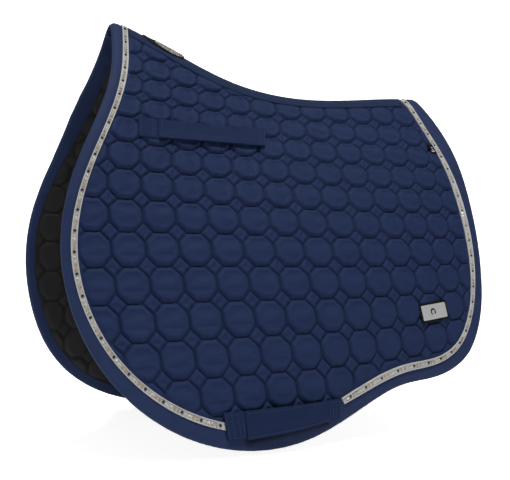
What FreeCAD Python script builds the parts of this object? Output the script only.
import FreeCAD, Part
import math
import os
import Sketcher
from FreeCAD import Vector, Placement

# Saddle pad, contoured general-purpose shape: two quilted halves joined along
# a spine, bound edges with a stone ribbon, billet straps, girth loops.
#
# Frame, millimetres: X runs along the horse (-X towards the withers, +X
# towards the loin), Y across it (-Y is the near, left side), Z up. The origin
# is the underside of the spine at its lowest point, on the centre plane.
#
# The left side is laid out on a flat pattern measured in quilting pitches: pa
# runs to the rear, pb runs down. Offsets (lo, hi) are millimetres outside the
# draped outer face, so plies below it have negative offsets.

doc = FreeCAD.newDocument("saddle_pad")

# --- driving dimensions -----------------------------------------------------
SIZES = [
    ("pitch", 47.0),             # distance between quilting octagon centres
    ("skin_thick", 1.1),         # outer cotton cover and inner lining
    ("stack_thick", 6.7),        # cover + wadding + lining at mean height
    ("mean_drop", 2.3),          # mean outer face below the pillow tops
    ("ply_gap", 0.2),            # air between two plies
    ("binding_thick", 0.85),     # one leaf of the folded binding
    ("binding_tuck", 0.10),      # binding that runs under the ribbon, pitches
    ("ribbon_thick", 0.5),
    ("cord_rad", 0.4),
    ("stone_foot", 1.45),        # stone radius at its foot
    ("stone_table", 0.85),       # stone radius at its top facet
    ("stone_tall", 1.25),
    ("stone_step", 5.9),         # stone to stone along the ribbon
    ("ridge_half", 6.4),         # half width of the rounded top of the spine
    ("tape_half", 13.0),         # half width of the spine tape
    ("tape_thick", 1.0),
    ("spine_thick", 4.2),        # outer tape + pressed seam + inner tape
    ("panel_start", 22.0),       # panels begin this far from the centre plane
    ("flap_thick", 1.8),
    ("patch_thick", 0.8),
    ("anchor_thick", 1.7),
    ("loop_thick", 1.6),
    ("loop_tab_thick", 2.6),
    ("loop_bow", 7.0),           # how far the girth loop stands off the panel
    ("badge_len", 58.0),
    ("badge_tall", 30.5),
    ("badge_thick", 1.0),
    ("badge_round", 1.5),
    ("plate_len", 50.5),
    ("plate_tall", 23.0),
    ("plate_thick", 1.0),
    ("plate_bevel", 0.35),
    ("tag_thick", 0.8),
    ("label_thick", 1.6),
]
sheet = doc.addObject("Spreadsheet::Sheet", "sizes")
for i, (name, value) in enumerate(SIZES):
    sheet.set("A%d" % (i + 1), name)
    sheet.set("B%d" % (i + 1), "%g" % value)
    sheet.setAlias("B%d" % (i + 1), name)
doc.recompute()


def size(name):
    return float(sheet.get(name))


PITCH = size("pitch")
MEAN = size("mean_drop")
STACK = size("stack_thick")
SKIN = size("skin_thick")
GAP = size("ply_gap")
LEAF = size("binding_thick")
TUCK = size("binding_tuck")
PANEL_START = size("panel_start")

BINDING_TOP = -MEAN + GAP + LEAF
BINDING_UNDER = -MEAN - STACK - GAP - LEAF
RIBBON_LO = BINDING_TOP + 0.1
RIBBON_HI = RIBBON_LO + size("ribbon_thick")
TRIM_LO = RIBBON_HI + 0.05      # foot of the cords and stones on the ribbon

# --- the draped shape -------------------------------------------------------
# A fifth-degree polynomial drapes the flat pattern into the left outer face,
# with s = (pa - middle) / span and t = (pb - middle) / span.
PA_MIDDLE, PA_SPAN = 4.2, 7.0
PB_MIDDLE, PB_SPAN = -1.2, 6.6
# Each row is: power of s, power of t, x, y, z (in pitches).
DRAPE_TERMS = [
    (0, 0, -1.82304, -2.90707, -4.40312),
    (0, 1, -0.39914, -2.89372, -5.95376),
    (0, 2, 0.77316, 0.98947, -0.86368),
    (0, 3, 0.11775, 0.32004, 0.02495),
    (0, 4, -0.32149, -0.13354, 0.30091),
    (0, 5, 0.03833, 0.14294, -0.05169),
    (1, 0, 7.19436, -0.12269, -0.04921),
    (1, 1, -0.14446, -0.47668, 0.07279),
    (1, 2, -0.26509, 1.17223, 0.58728),
    (1, 3, 0.19955, 0.47288, -0.16624),
    (1, 4, 0.15442, -0.33176, -0.18409),
    (2, 0, -0.01593, -0.17211, 0.05039),
    (2, 1, 0.40626, 1.83657, -0.11709),
    (2, 2, -0.07435, -0.39789, 0.23725),
    (2, 3, -0.36463, -1.16234, 0.18192),
    (3, 0, -0.23852, 0.28481, 0.19163),
    (3, 1, 0.01531, -0.19097, 0.24723),
    (3, 2, 0.04496, -0.53013, -0.28891),
    (4, 0, 0.04127, 0.33834, 0.02406),
    (4, 1, -0.06661, -0.38011, -0.07875),
    (5, 0, 0.06173, -0.18747, -0.12472),
]

# The left side's outline, from the top of the withers down the front, along
# the bottom and up the rear to the spine. Columns, in pitches: pa, pb, then
# how far in from the edge the ribbon starts and ends.
OUTLINE = [
    (-1.545, -8.948, 0.306, 0.526), (-1.555, -8.427, 0.306, 0.526), (-1.554, -7.906, 0.304, 0.525),
    (-1.551, -7.385, 0.288, 0.519), (-1.556, -6.864, 0.279, 0.513), (-1.578, -6.344, 0.276, 0.507),
    (-1.622, -5.824, 0.278, 0.502), (-1.689, -5.308, 0.283, 0.496), (-1.780, -4.795, 0.290, 0.491),
    (-1.893, -4.286, 0.297, 0.487), (-2.025, -3.782, 0.302, 0.483), (-2.171, -3.282, 0.304, 0.481),
    (-2.323, -2.784, 0.302, 0.479), (-2.473, -2.285, 0.296, 0.479), (-2.614, -1.784, 0.288, 0.479),
    (-2.740, -1.278, 0.281, 0.482), (-2.842, -0.767, 0.275, 0.486), (-2.912, -0.251, 0.274, 0.491),
    (-2.941, 0.269, 0.279, 0.499), (-2.922, 0.790, 0.291, 0.508), (-2.855, 1.306, 0.308, 0.519),
    (-2.738, 1.814, 0.327, 0.532), (-2.570, 2.307, 0.347, 0.546), (-2.352, 2.779, 0.366, 0.560),
    (-2.081, 3.224, 0.381, 0.576), (-1.762, 3.636, 0.393, 0.592), (-1.401, 4.011, 0.402, 0.608),
    (-1.003, 4.348, 0.410, 0.624), (-0.576, 4.645, 0.418, 0.640), (-0.123, 4.903, 0.427, 0.656),
    (0.350, 5.119, 0.439, 0.671), (0.841, 5.294, 0.455, 0.684), (1.344, 5.427, 0.457, 0.684),
    (1.858, 5.517, 0.456, 0.686), (2.376, 5.564, 0.455, 0.687), (2.897, 5.566, 0.454, 0.689),
    (3.416, 5.524, 0.453, 0.690), (3.930, 5.437, 0.451, 0.692), (4.434, 5.305, 0.451, 0.693),
    (4.928, 5.142, 0.450, 0.694), (5.417, 4.961, 0.423, 0.691), (5.904, 4.777, 0.386, 0.683),
    (6.395, 4.601, 0.359, 0.672), (6.893, 4.450, 0.340, 0.659), (7.403, 4.342, 0.328, 0.645),
    (7.921, 4.293, 0.322, 0.629), (8.442, 4.273, 0.320, 0.614), (8.960, 4.223, 0.322, 0.598),
    (9.466, 4.101, 0.326, 0.583), (9.942, 3.892, 0.332, 0.570), (10.361, 3.583, 0.337, 0.558),
    (10.708, 3.196, 0.341, 0.549), (10.993, 2.760, 0.342, 0.544), (11.223, 2.293, 0.340, 0.542),
    (11.404, 1.804, 0.333, 0.545), (11.542, 1.302, 0.321, 0.553), (11.647, 0.792, 0.308, 0.565),
    (11.725, 0.277, 0.298, 0.583), (11.780, -0.241, 0.293, 0.604), (11.819, -0.761, 0.298, 0.630),
    (11.846, -1.281, 0.314, 0.660), (11.865, -1.802, 0.341, 0.693), (11.881, -2.322, 0.380, 0.730),
    (11.888, -2.843, 0.432, 0.770), (11.877, -3.364, 0.493, 0.812), (11.840, -3.884, 0.555, 0.855),
    (11.771, -4.400, 0.608, 0.889), (11.668, -4.911, 0.642, 0.909), (11.531, -5.413, 0.646, 0.907),
    (11.360, -5.906, 0.611, 0.876), (11.157, -6.385, 0.526, 0.808), (10.921, -6.850, 0.418, 0.725),
    (10.654, -7.297, 0.418, 0.725),
]


def drape(pa, pb):
    # point on the left outer face, its outward normal and its pb tangent
    s = (pa - PA_MIDDLE) / PA_SPAN
    t = (pb - PB_MIDDLE) / PB_SPAN
    s_powers = [s ** k for k in range(6)]
    t_powers = [t ** k for k in range(6)]
    point, rearward, down = [0.0] * 3, [0.0] * 3, [0.0] * 3
    for i, j, *coefs in DRAPE_TERMS:
        value = s_powers[i] * t_powers[j]
        by_pa = i * s_powers[i - 1] * t_powers[j] / PA_SPAN if i else 0.0
        by_pb = s_powers[i] * j * t_powers[j - 1] / PB_SPAN if j else 0.0
        for k, coef in enumerate(coefs):
            point[k] += coef * value
            rearward[k] += coef * by_pa
            down[k] += coef * by_pb
    down = Vector(*down)
    normal = down.cross(Vector(*rearward))
    normal.normalize()
    return Vector(*point) * PITCH, normal, down


def place(pa, pb, off=0.0):
    # a point off millimetres outside the left outer face
    point, normal, _ = drape(pa, pb)
    return point + normal * off


def pattern_at_y(pa, y):
    # pb where the outer face crosses the plane Y = y, by Newton's method
    pb = -7.0
    for _ in range(60):
        point, _, down = drape(pa, pb)
        step = (point.y - y) / (down.y * PITCH)
        step = max(-0.5, min(0.5, step))
        pb -= step
        if abs(step) < 1e-10:
            break
    return pb


# --- positions along the outline --------------------------------------------
def refine(rows, splits):
    # Catmull-Rom curve through the rows, each gap cut into splits
    out = []
    last = len(rows) - 1
    for k in range(last):
        around = (rows[max(k - 1, 0)], rows[k], rows[k + 1], rows[min(k + 2, last)])
        for q in range(splits):
            t = q / float(splits)
            out.append(tuple(
                0.5 * ((2 * p1) + (p2 - p0) * t
                       + (2 * p0 - 5 * p1 + 4 * p2 - p3) * t * t
                       + (3 * p1 - p0 - 3 * p2 + p3) * t ** 3)
                for p0, p1, p2, p3 in zip(*around)))
    out.append(rows[-1])
    return out


FINE = refine(OUTLINE, 4)
# outline length, in pitches, at each refined point
LENGTHS = [0.0]
for before, after in zip(FINE, FINE[1:]):
    LENGTHS.append(LENGTHS[-1] + math.hypot(after[0] - before[0], after[1] - before[1]))
TOTAL = LENGTHS[-1]


def edge_at(length):
    # outline point, inward direction and the two ribbon insets
    length = max(0.0, min(TOTAL - 1e-9, length))
    lo, hi = 0, len(LENGTHS) - 1
    while hi - lo > 1:
        mid = (lo + hi) // 2
        if LENGTHS[mid] <= length:
            lo = mid
        else:
            hi = mid
    part = (length - LENGTHS[lo]) / (LENGTHS[lo + 1] - LENGTHS[lo])
    pa, pb, start, end = [a * (1 - part) + b * part for a, b in zip(FINE[lo], FINE[lo + 1])]
    before = FINE[max(lo - 2, 0)]
    after = FINE[min(lo + 3, len(FINE) - 1)]
    along_a = after[0] - before[0]
    along_b = after[1] - before[1]
    norm = math.hypot(along_a, along_b)
    return pa, pb, along_b / norm, -along_a / norm, start, end


# An inset rule takes the ribbon's start and end insets at a place on the
# outline and gives a depth inside the outline, all in pitches.
def ribbon_start(start, end):
    return start


def ribbon_middle(start, end):
    return 0.5 * (start + end)


def ribbon_end(start, end):
    return end


def binding_end(start, end):
    return start + TUCK


def fixed(depth):
    return lambda start, end: depth


def inset(length, rule):
    # pattern point inside the outline
    pa, pb, in_a, in_b, start, end = edge_at(length)
    depth = rule(start, end)
    return pa + in_a * depth, pb + in_b * depth


def length_at_y(rear, y, rule, off):
    # outline length near the spine's front or rear end where the inset run
    # crosses the plane Y = y
    lo, hi = (TOTAL, TOTAL - 5.0) if rear else (0.0, 5.0)
    for _ in range(60):
        mid = 0.5 * (lo + hi)
        if place(*inset(mid, rule), off).y > y:
            lo = mid
        else:
            hi = mid
    return hi


def panel_ends(rule):
    # outline lengths at which the panel's edge trim begins and stops
    return [length_at_y(rear, -PANEL_START, rule, BINDING_UNDER) for rear in (False, True)]


# --- solids from grids of points --------------------------------------------
def closed_solid(faces):
    shell = Part.Shell(faces)
    shell.sewShape()
    if shell.ShapeType != "Shell":
        shell = shell.Shells[0]
    solid = Part.Solid(shell)
    if solid.Volume < 0:
        solid.reverse()
    return solid


def surface_through(grid):
    surface = Part.BSplineSurface()
    surface.interpolate(grid)
    return surface


def border_curves(surface):
    # first and last curve of each direction: u0, u1, v0, v1
    u0, u1, v0, v1 = surface.bounds()
    return surface.uIso(u0), surface.uIso(u1), surface.vIso(v0), surface.vIso(v1)


def ruled(curve1, curve2):
    return Part.makeRuledSurface(curve1.toShape(), curve2.toShape())


def grid_solid(outer, inner):
    # closed solid between two matching point grids
    surfaces = [surface_through(outer), surface_through(inner)]
    faces = [surface.toShape() for surface in surfaces]
    for pair in zip(*[border_curves(surface) for surface in surfaces]):
        faces.append(ruled(*pair))
    return closed_solid(faces)


def band_solid(outer, inner):
    # closed solid like grid_solid, smooth along the first index and made of
    # narrow ruled strips across the second: it follows a tight fold exactly
    def lines(rows):
        out = []
        for column in zip(*rows):
            curve = Part.BSplineCurve()
            curve.interpolate(list(column))
            out.append(curve)
        return out
    outer_lines, inner_lines = lines(outer), lines(inner)
    faces = []
    for j in range(len(outer_lines) - 1):
        faces.append(ruled(outer_lines[j], outer_lines[j + 1]))
        faces.append(ruled(inner_lines[j], inner_lines[j + 1]))
        for row in (0, -1):
            faces.append(ruled(Part.LineSegment(outer[row][j], outer[row][j + 1]),
                               Part.LineSegment(inner[row][j], inner[row][j + 1])))
    faces.append(ruled(outer_lines[0], inner_lines[0]))
    faces.append(ruled(outer_lines[-1], inner_lines[-1]))
    return closed_solid(faces)


def patch_solid(corners, lo, hi, nu=9, nv=5, bow=0.0):
    # solid over the pattern quad a, b, c, d (in order round it); bow lifts
    # the middle of its run from a to b
    (a0, a1), (b0, b1), (c0, c1), (d0, d1) = corners
    outer, inner = [], []
    for i in range(nu):
        u = i / float(nu - 1)
        lift = bow * math.sin(math.pi * u)
        row = []
        for j in range(nv):
            v = j / float(nv - 1)
            row.append(((a0 * (1 - u) + b0 * u) * (1 - v) + (d0 * (1 - u) + c0 * u) * v,
                        (a1 * (1 - u) + b1 * u) * (1 - v) + (d1 * (1 - u) + c1 * u) * v))
        outer.append([place(pa, pb, hi + lift) for pa, pb in row])
        inner.append([place(pa, pb, lo + lift) for pa, pb in row])
    return grid_solid(outer, inner)


def run_grid(s0, s1, rule0, rule1, off, ns, nd):
    # grid that follows the outline from s0 to s1, between two inset rules
    rows = []
    for i in range(ns + 1):
        pa, pb, in_a, in_b, start, end = edge_at(s0 + (s1 - s0) * i / ns)
        d0, d1 = rule0(start, end), rule1(start, end)
        depths = [d0 + (d1 - d0) * j / nd for j in range(nd + 1)]
        rows.append([place(pa + in_a * depth, pb + in_b * depth, off) for depth in depths])
    return rows


def run_solid(s0, s1, rule0, rule1, lo, hi, ns=40, nd=2):
    return grid_solid(run_grid(s0, s1, rule0, rule1, hi, ns, nd),
                      run_grid(s0, s1, rule0, rule1, lo, ns, nd))


# --- document objects -------------------------------------------------------
parts = []      # every object that is exported


def add_shape(label, shape):
    obj = doc.addObject("Part::Feature", label)
    obj.Label = label
    obj.Shape = shape
    return obj


def add_part(label, shape):
    parts.append(add_shape(label, shape))


# --- quilted stack, at its mean height between seams and pillow tops --------
SHEET_PA = (-3.3, 12.3)
SHEET_PB = (-9.1, 5.9)
SHEET_POINTS = 26           # each way
PANEL_INSET = 0.13          # panel edge inside the outline, pitches
PANEL_STEPS = 44
# sheet, trimmed ply, top offset, bottom offset
PLIES = [
    ("cover_sheet", "quilted_cover_left", -MEAN, -MEAN - SKIN),
    ("wadding_sheet", "wadding_left", -MEAN - SKIN - GAP, -MEAN - STACK + SKIN + GAP),
    ("lining_sheet", "lining_left", -MEAN - STACK + SKIN, -MEAN - STACK),
]


def spread(ends, count):
    return [ends[0] + (ends[1] - ends[0]) * i / (count - 1) for i in range(count)]


def sheet_solid(hi, lo):
    # untrimmed ply, larger than the panel all round
    grids = [[[place(pa, pb, off) for pb in spread(SHEET_PB, SHEET_POINTS)]
              for pa in spread(SHEET_PA, SHEET_POINTS)] for off in (hi, lo)]
    return grid_solid(*grids)


def panel_prism():
    # side-view outline of the panel carried through the left side
    points = []
    for k in range(PANEL_STEPS + 1):
        pa, pb = inset(TOTAL * k / PANEL_STEPS, fixed(PANEL_INSET))
        point = place(pa, pb, -0.5 * STACK - MEAN)
        points.append(Vector(point.x, -PANEL_START, point.z))
    curve = Part.BSplineCurve()
    curve.interpolate(points)
    # closed well above the spine
    front_top = points[0] + Vector(0, 0, 60)
    rear_top = points[-1] + Vector(0, 0, 140)
    wire = Part.Wire([curve.toShape(),
                      Part.LineSegment(points[-1], rear_top).toShape(),
                      Part.LineSegment(rear_top, front_top).toShape(),
                      Part.LineSegment(front_top, points[0]).toShape()])
    return Part.Face(wire).extrude(Vector(0, -600, 0))


trim_stack = add_shape("trim_stack", panel_prism())
for sheet_label, ply_label, top, bottom in PLIES:
    ply = doc.addObject("Part::Common", ply_label)
    ply.Label = ply_label
    ply.Base = add_shape(sheet_label, sheet_solid(top, bottom))
    ply.Tool = trim_stack
    parts.append(ply)

# --- edge binding: a folded tape that holds the edge of the stack -----------
RIM = 0.035                 # thickness of the fold at the outline, pitches


def fold_solid(s0, s1, rule, ns):
    # outer leaf, rim and inner leaf as one closed solid; the grids go round
    # the section: outer leaf top, inner leaf underside, then the two insides
    grids = [run_grid(s0, s1, fixed(depth), rule, off, ns, 2) for depth, off in (
        (0.0, BINDING_TOP), (0.0, BINDING_UNDER),
        (RIM, BINDING_UNDER + LEAF), (RIM, BINDING_TOP - LEAF))]
    surfaces = [surface_through(grid) for grid in grids]
    faces = [surface.toShape() for surface in surfaces]
    first, last, rim, free = zip(*[border_curves(surface) for surface in surfaces])
    faces += [ruled(rim[0], rim[1]), ruled(free[1], free[2]),
              ruled(rim[2], rim[3]), ruled(free[3], free[0])]
    for row, end in ((0, first), (-1, last)):
        faces += [ruled(end[0], end[3]), ruled(end[1], end[2])]
        faces.append(ruled(Part.LineSegment(grids[0][row][0], grids[1][row][0]),
                           Part.LineSegment(grids[3][row][0], grids[2][row][0])))
    return closed_solid(faces)


add_part("edge_binding_left", fold_solid(*panel_ends(binding_end), binding_end, 60))

# --- stone ribbon: two runs, front and rear, that end under the girth loop --
# outline lengths, in pitches, at the girth loop
RIBBON_FRONT_STOP = 16.30
RIBBON_REAR_START = 20.62
CORD_FRONT_STOP = 15.97
CORD_REAR_START = RIBBON_REAR_START + 0.05
STONE_FRONT_STOP = 15.95
STONE_REAR_STOP = 21.05
STONE_END_GAP = 0.06        # first stone from the ribbon's upper end

front_top, rear_top = panel_ends(ribbon_end)
add_part("ribbon_front_left", run_solid(front_top, RIBBON_FRONT_STOP,
                                        ribbon_start, ribbon_end, RIBBON_LO, RIBBON_HI))
add_part("ribbon_rear_left", run_solid(RIBBON_REAR_START, rear_top,
                                       ribbon_start, ribbon_end, RIBBON_LO, RIBBON_HI))


def cords():
    # square-section cord along both edges of each ribbon run
    side = 2 * size("cord_rad")
    width = side / PITCH
    margin = 0.004
    rules = ((lambda start, end: start + margin, lambda start, end: start + margin + width),
             (lambda start, end: end - margin - width, lambda start, end: end - margin))
    return [run_solid(s0, s1, rule0, rule1, TRIM_LO, TRIM_LO + side, 40, 1)
            for s0, s1 in ((front_top, CORD_FRONT_STOP), (CORD_REAR_START, rear_top))
            for rule0, rule1 in rules]


add_part("ribbon_cords_left", Part.makeCompound(cords()))


def stone_solid(length):
    # six-sided stone, tapered to its top facet, in the middle of the ribbon
    pa, pb = inset(length, ribbon_middle)
    foot = place(pa, pb, TRIM_LO)
    normal = drape(pa, pb)[1]
    along = Vector(0, 0, 1).cross(normal)
    along.normalize()
    across = normal.cross(along)
    rings = []
    for radius, height in ((size("stone_foot"), 0.0), (size("stone_table"), size("stone_tall"))):
        rings.append([foot + normal * height + along * (radius * math.cos(math.pi * k / 3))
                      + across * (radius * math.sin(math.pi * k / 3)) for k in range(6)])
    faces = [Part.Face(Part.makePolygon(ring + [ring[0]])) for ring in rings]
    low, high = rings
    for k in range(6):
        n = (k + 1) % 6
        faces.append(Part.Face(Part.makePolygon([low[k], low[n], high[n], high[k], low[k]])))
    return closed_solid(faces)


STONE_ORDER = ("jet", "clear", "clear", "peach", "peach")
stones = {"clear": [], "peach": [], "jet": []}
stone_step = size("stone_step") / PITCH
for s0, s1 in ((front_top + STONE_END_GAP, STONE_FRONT_STOP),
               (rear_top - STONE_END_GAP, STONE_REAR_STOP)):
    step = stone_step if s1 > s0 else -stone_step
    for k in range(int(abs(s1 - s0) / stone_step) + 1):
        stones[STONE_ORDER[k % 5]].append(stone_solid(s0 + step * k))
for kind, solids in stones.items():
    add_part("%s_stones_left" % kind, Part.makeCompound(solids))

# --- billet strap and girth loop --------------------------------------------
PATCH_LO = 0.3              # sewn patches above the face
TAB_LO = 0.8
BAND_LO = 1.3
PATCH_THICK = size("patch_thick")
HOOK_LO = PATCH_LO + PATCH_THICK + GAP
FLAP_LO = HOOK_LO + PATCH_THICK + GAP
TAB_THICK = size("loop_tab_thick")
# label, pattern corners, low offset, thickness, grid points along, bow
PATCHES = [
    # billet: sewn anchor, loop patch, hook patch, then the flap over them
    ("billet_anchor_left", [(-0.65, -4.55), (-0.055, -4.57), (-0.04, -3.74), (-0.61, -3.74)],
     PATCH_LO, size("anchor_thick"), 9, 0.0),
    ("billet_loop_patch_left", [(2.70, -4.62), (3.62, -4.66), (3.52, -3.97), (2.62, -3.93)],
     PATCH_LO, PATCH_THICK, 9, 0.0),
    ("billet_hook_patch_left", [(2.74, -4.60), (3.60, -4.64), (3.50, -3.99), (2.66, -3.95)],
     HOOK_LO, PATCH_THICK, 9, 0.0),
    ("billet_flap_left", [(0.0, -4.56), (3.85, -4.75), (3.70, -3.91), (0.02, -3.74)],
     FLAP_LO, size("flap_thick"), 15, 0.0),
    # girth loop: a bowed strap between two sewn tabs
    ("girth_loop_front_tab_left", [(1.05, 4.41), (1.70, 4.43), (1.69, 5.16), (1.13, 5.17)],
     TAB_LO, TAB_THICK, 9, 0.0),
    ("girth_loop_rear_tab_left", [(4.42, 4.40), (4.84, 4.41), (4.93, 4.60), (4.72, 4.98)],
     TAB_LO, TAB_THICK, 9, 0.0),
    ("girth_loop_band_left", [(1.73, 4.43), (4.39, 4.40), (4.69, 4.99), (1.74, 5.21)],
     BAND_LO, size("loop_thick"), 21, size("loop_bow")),
]
for label, corners, lo, thick, nu, bow in PATCHES:
    add_part(label, patch_solid(corners, lo, lo + thick, nu=nu, bow=bow))

# --- spine ------------------------------------------------------------------
RIDGE_HALF = size("ridge_half")
TAPE_HALF = size("tape_half")
TAPE = size("tape_thick")
SPINE = size("spine_thick")
SEAM_MARGIN = 1.5           # seam strip narrower than the tape, each side
CROWN_UNDER = -5.4          # underside of the binding across the spine


def ridge_point(pa, y, off):
    # outer face near the centre plane, its top rounded to an arc
    pb = pattern_at_y(pa, -max(abs(y), RIDGE_HALF))
    point, normal, _ = drape(pa, pb)
    if abs(y) >= RIDGE_HALF:
        found = point + normal * off
    else:
        # arc tangent to both sides at the ridge's half width
        sine = -normal.y
        radius = RIDGE_HALF / sine
        upright = Vector(normal.x, 0, normal.z)
        upright.normalize()
        centre = Vector(point.x, 0, point.z) - upright * (radius * math.sqrt(1 - sine ** 2))
        angle = math.asin(abs(y) / radius)
        reach = radius + off
        found = (centre + upright * (reach * math.cos(angle))
                 + Vector(0, -reach * math.sin(angle), 0))
    return found if y <= 0 else Vector(found.x, -found.y, found.z)


def spine_end(rear, depth):
    # rule giving pa, at width y, of the outline's front or rear end inset by
    # depth; the square root rounds the corner at the centre plane
    def pa_at(y):
        rule = fixed(depth)
        return inset(length_at_y(rear, -math.sqrt(y * y + 9.0), rule, 0.0), rule)[0]
    return pa_at


def ridge_solid(pa_from, pa_to, half, lo, hi, nu=26, nv=11):
    # band over the spine between two rules that give pa at width y
    widths = [half * (2.0 * j / (nv - 1) - 1.0) for j in range(nv)]
    spans = [(y, pa_from(y), pa_to(y)) for y in widths]
    outer, inner = [], []
    for i in range(nu):
        u = i / float(nu - 1)
        row = [(p0 + (p1 - p0) * u, y) for y, p0, p1 in spans]
        outer.append([ridge_point(pa, y, hi) for pa, y in row])
        inner.append([ridge_point(pa, y, lo) for pa, y in row])
    return band_solid(outer, inner)


front_start, front_end = OUTLINE[0][2:]
rear_start, rear_end = OUTLINE[-1][2:]

# The outer tape stops at the ribbon; the plies below it stop at the binding.
add_part("spine_tape_outer", ridge_solid(
    spine_end(False, front_end + 0.02), spine_end(True, rear_end + 0.02),
    TAPE_HALF, -TAPE, 0.0))
under_ends = (spine_end(False, front_start + TUCK + 0.01),
              spine_end(True, rear_start + TUCK + 0.01))
add_part("spine_seam_strip", ridge_solid(
    *under_ends, TAPE_HALF - SEAM_MARGIN, -(SPINE - TAPE - GAP), -TAPE - GAP))
add_part("spine_tape_inner", ridge_solid(*under_ends, TAPE_HALF, -SPINE, -(SPINE - TAPE)))

# binding and ribbon carried over the spine at both ends: label, rear end or
# not, inset from, inset to, low and high offsets
CROWNS = [
    ("binding_front_crown", False, 0.0, front_start + TUCK, CROWN_UNDER, BINDING_TOP),
    ("binding_rear_crown", True, 0.0, rear_start + TUCK, CROWN_UNDER, BINDING_TOP),
    ("ribbon_front_crown", False, front_start, front_end, RIBBON_LO, RIBBON_HI),
    ("ribbon_rear_crown", True, rear_start, rear_end, RIBBON_LO, RIBBON_HI),
]
for label, rear, depth0, depth1, lo, hi in CROWNS:
    add_part(label, ridge_solid(spine_end(rear, depth0), spine_end(rear, depth1),
                                TAPE_HALF, lo, hi, nu=5, nv=13))

# --- label over the withers: backing and plate ------------------------------
LABEL_LO = 0.2
LABEL_THICK = size("label_thick")
LABEL_PLATE_LO = LABEL_LO + LABEL_THICK + 0.2
LABEL_PLATE_THICK = 0.9


def label_solid(pa0, pa1, half, lo, hi):
    return ridge_solid(lambda y: pa0, lambda y: pa1, half, lo, hi, nu=9, nv=11)


add_part("wither_label_backing", label_solid(-0.47, 1.02, 11.0, LABEL_LO, LABEL_LO + LABEL_THICK))
add_part("wither_label_plate", label_solid(0.06, 0.98, 9.0, LABEL_PLATE_LO,
                                           LABEL_PLATE_LO + LABEL_PLATE_THICK))

# --- side tag, beside the ribbon's inner edge -------------------------------
TAG_LENGTHS = (34.10, 34.64)    # outline lengths of its two ends, pitches
add_part("side_tag", run_solid(
    *TAG_LENGTHS, lambda start, end: end + 0.03, lambda start, end: end + 0.24,
    RIBBON_LO, RIBBON_LO + size("tag_thick"), 4, 2))

# --- badge: a flat backing with a metal plate, both padded bodies -----------
BADGE_PA, BADGE_PB = 9.0, 2.145                     # badge centre
BADGE_FRONT, BADGE_REAR = (8.37, 2.185), (9.62, 2.105)  # its long axis
BADGE_REACH_PA, BADGE_REACH_PB = 0.66, 0.36         # face area it must clear
BADGE_CLEAR = 0.3
PLATE_CLEAR = 0.05


def outline_sketch(body, name, len_alias, tall_alias):
    # rectangle centred on the body's origin
    sketch = body.newObject("Sketcher::SketchObject", name + "_outline")
    plane = [f for f in body.Origin.OriginFeatures if f.Role == "XY_Plane"][0]
    sketch.AttachmentSupport = [(plane, "")]
    sketch.MapMode = "FlatFace"
    x, y = size(len_alias) / 2, size(tall_alias) / 2
    corners = [Vector(-x, -y, 0), Vector(x, -y, 0), Vector(x, y, 0), Vector(-x, y, 0)]
    for k in range(4):
        sketch.addGeometry(Part.LineSegment(corners[k], corners[(k + 1) % 4]), False)
    for k in range(4):
        sketch.addConstraint(Sketcher.Constraint("Coincident", k, 2, (k + 1) % 4, 1))
    for k in (0, 2):
        sketch.addConstraint(Sketcher.Constraint("Horizontal", k))
    for k in (1, 3):
        sketch.addConstraint(Sketcher.Constraint("Vertical", k))
    sketch.addConstraint(Sketcher.Constraint("Symmetric", 0, 1, 1, 2, -1, 1))
    across = sketch.addConstraint(Sketcher.Constraint("DistanceX", 0, 1, 0, 2, 2 * x))
    sketch.renameConstraint(across, "len")
    upward = sketch.addConstraint(Sketcher.Constraint("DistanceY", 1, 1, 1, 2, 2 * y))
    sketch.renameConstraint(upward, "tall")
    sketch.setExpression("Constraints.len", "sizes.%s" % len_alias)
    sketch.setExpression("Constraints.tall", "sizes.%s" % tall_alias)
    return sketch


def slab(name, len_alias, tall_alias, thick_alias, edge_alias, bevelled):
    # rectangular pad with a bevelled top face or rounded upright corners
    body = doc.addObject("PartDesign::Body", name)
    body.Label = name
    sketch = outline_sketch(body, name, len_alias, tall_alias)
    pad = body.newObject("PartDesign::Pad", name + "_pad")
    pad.Profile = sketch
    pad.setExpression("Length", "sizes.%s" % thick_alias)
    doc.recompute()
    if bevelled:
        dress = body.newObject("PartDesign::Chamfer", name + "_bevel")
        dress.Base = (pad, ["Face%d" % (k + 1) for k, face in enumerate(pad.Shape.Faces)
                            if face.CenterOfMass.z > size(thick_alias) - 1e-6])
        dress.setExpression("Size", "sizes.%s" % edge_alias)
    else:
        dress = body.newObject("PartDesign::Fillet", name + "_corners")
        dress.Base = (pad, ["Edge%d" % (k + 1) for k, edge in enumerate(pad.Shape.Edges)
                            if abs(edge.tangentAt(edge.FirstParameter).z) > 0.99])
        dress.setExpression("Radius", "sizes.%s" % edge_alias)
    body.Tip = dress
    doc.recompute()
    return body


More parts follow.
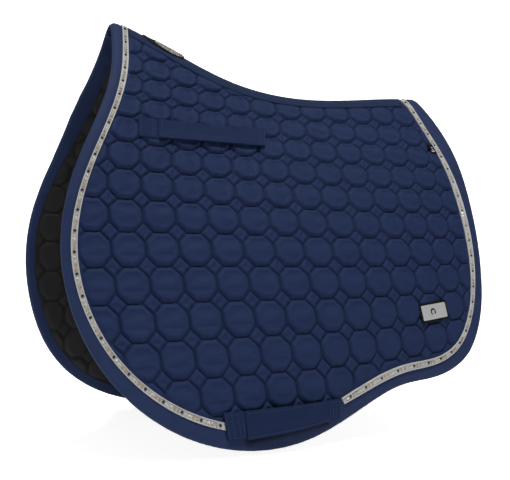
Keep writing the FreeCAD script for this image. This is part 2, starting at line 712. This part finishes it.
def badge_frame():
    # centre on the face, outward direction and turn of the badge
    centre, normal, _ = drape(BADGE_PA, BADGE_PB)
    along = place(*BADGE_REAR) - place(*BADGE_FRONT)
    along.normalize()
    across = normal.cross(along)
    across.normalize()
    outward = along.cross(across)
    matrix = FreeCAD.Matrix(along.x, across.x, outward.x, 0,
                            along.y, across.y, outward.y, 0,
                            along.z, across.z, outward.z, 0,
                            0, 0, 0, 1)
    return centre, outward, Placement(matrix).Rotation


badge_centre, badge_outward, badge_turn = badge_frame()
# the badge stands clear of the highest point of the face under it
badge_lift = 0.0
for i in range(7):
    for j in range(5):
        under = place(BADGE_PA + (i / 3.0 - 1) * BADGE_REACH_PA,
                      BADGE_PB + (j / 2.0 - 1) * BADGE_REACH_PB)
        badge_lift = max(badge_lift, (under - badge_centre).dot(badge_outward))
badge_lift += BADGE_CLEAR
plate_lift = badge_lift + size("badge_thick") + PLATE_CLEAR

badge_backing = slab("badge_backing", "badge_len", "badge_tall", "badge_thick",
                     "badge_round", bevelled=False)
badge_backing.Placement = Placement(badge_centre + badge_outward * badge_lift, badge_turn)
badge_plate = slab("badge_plate", "plate_len", "plate_tall", "plate_thick",
                   "plate_bevel", bevelled=True)
badge_plate.Placement = Placement(badge_centre + badge_outward * plate_lift, badge_turn)
parts += [badge_backing, badge_plate]

# --- the right side is the left side mirrored in the centre plane -----------
for source in list(parts):
    if source.Label.endswith("_left"):
        label = source.Label[:-len("_left")] + "_right"
        mirror = doc.addObject("Part::Mirroring", label)
        mirror.Label = label
        mirror.Source = source
        mirror.Normal = Vector(0, 1, 0)
        mirror.Base = Vector(0, 0, 0)
        parts.append(mirror)

doc.recompute()

# --- check and write --------------------------------------------------------
bad = []
for obj in doc.Objects:
    if "Invalid" in obj.State or "Error" in obj.State:
        bad.append("%s is %s" % (obj.Label, obj.State))
for obj in parts:
    shape = obj.Shape
    if shape.isNull() or not shape.isValid() or not shape.Solids:
        bad.append("%s has no valid solid" % obj.Label)
    elif min(solid.Volume for solid in shape.Solids) <= 0:
        bad.append("%s has an inside-out solid" % obj.Label)
if bad:
    raise RuntimeError("; ".join(bad))

os.makedirs("parts", exist_ok=True)
for obj in parts:
    obj.Shape.exportStep("parts/%s.step" % obj.Label)
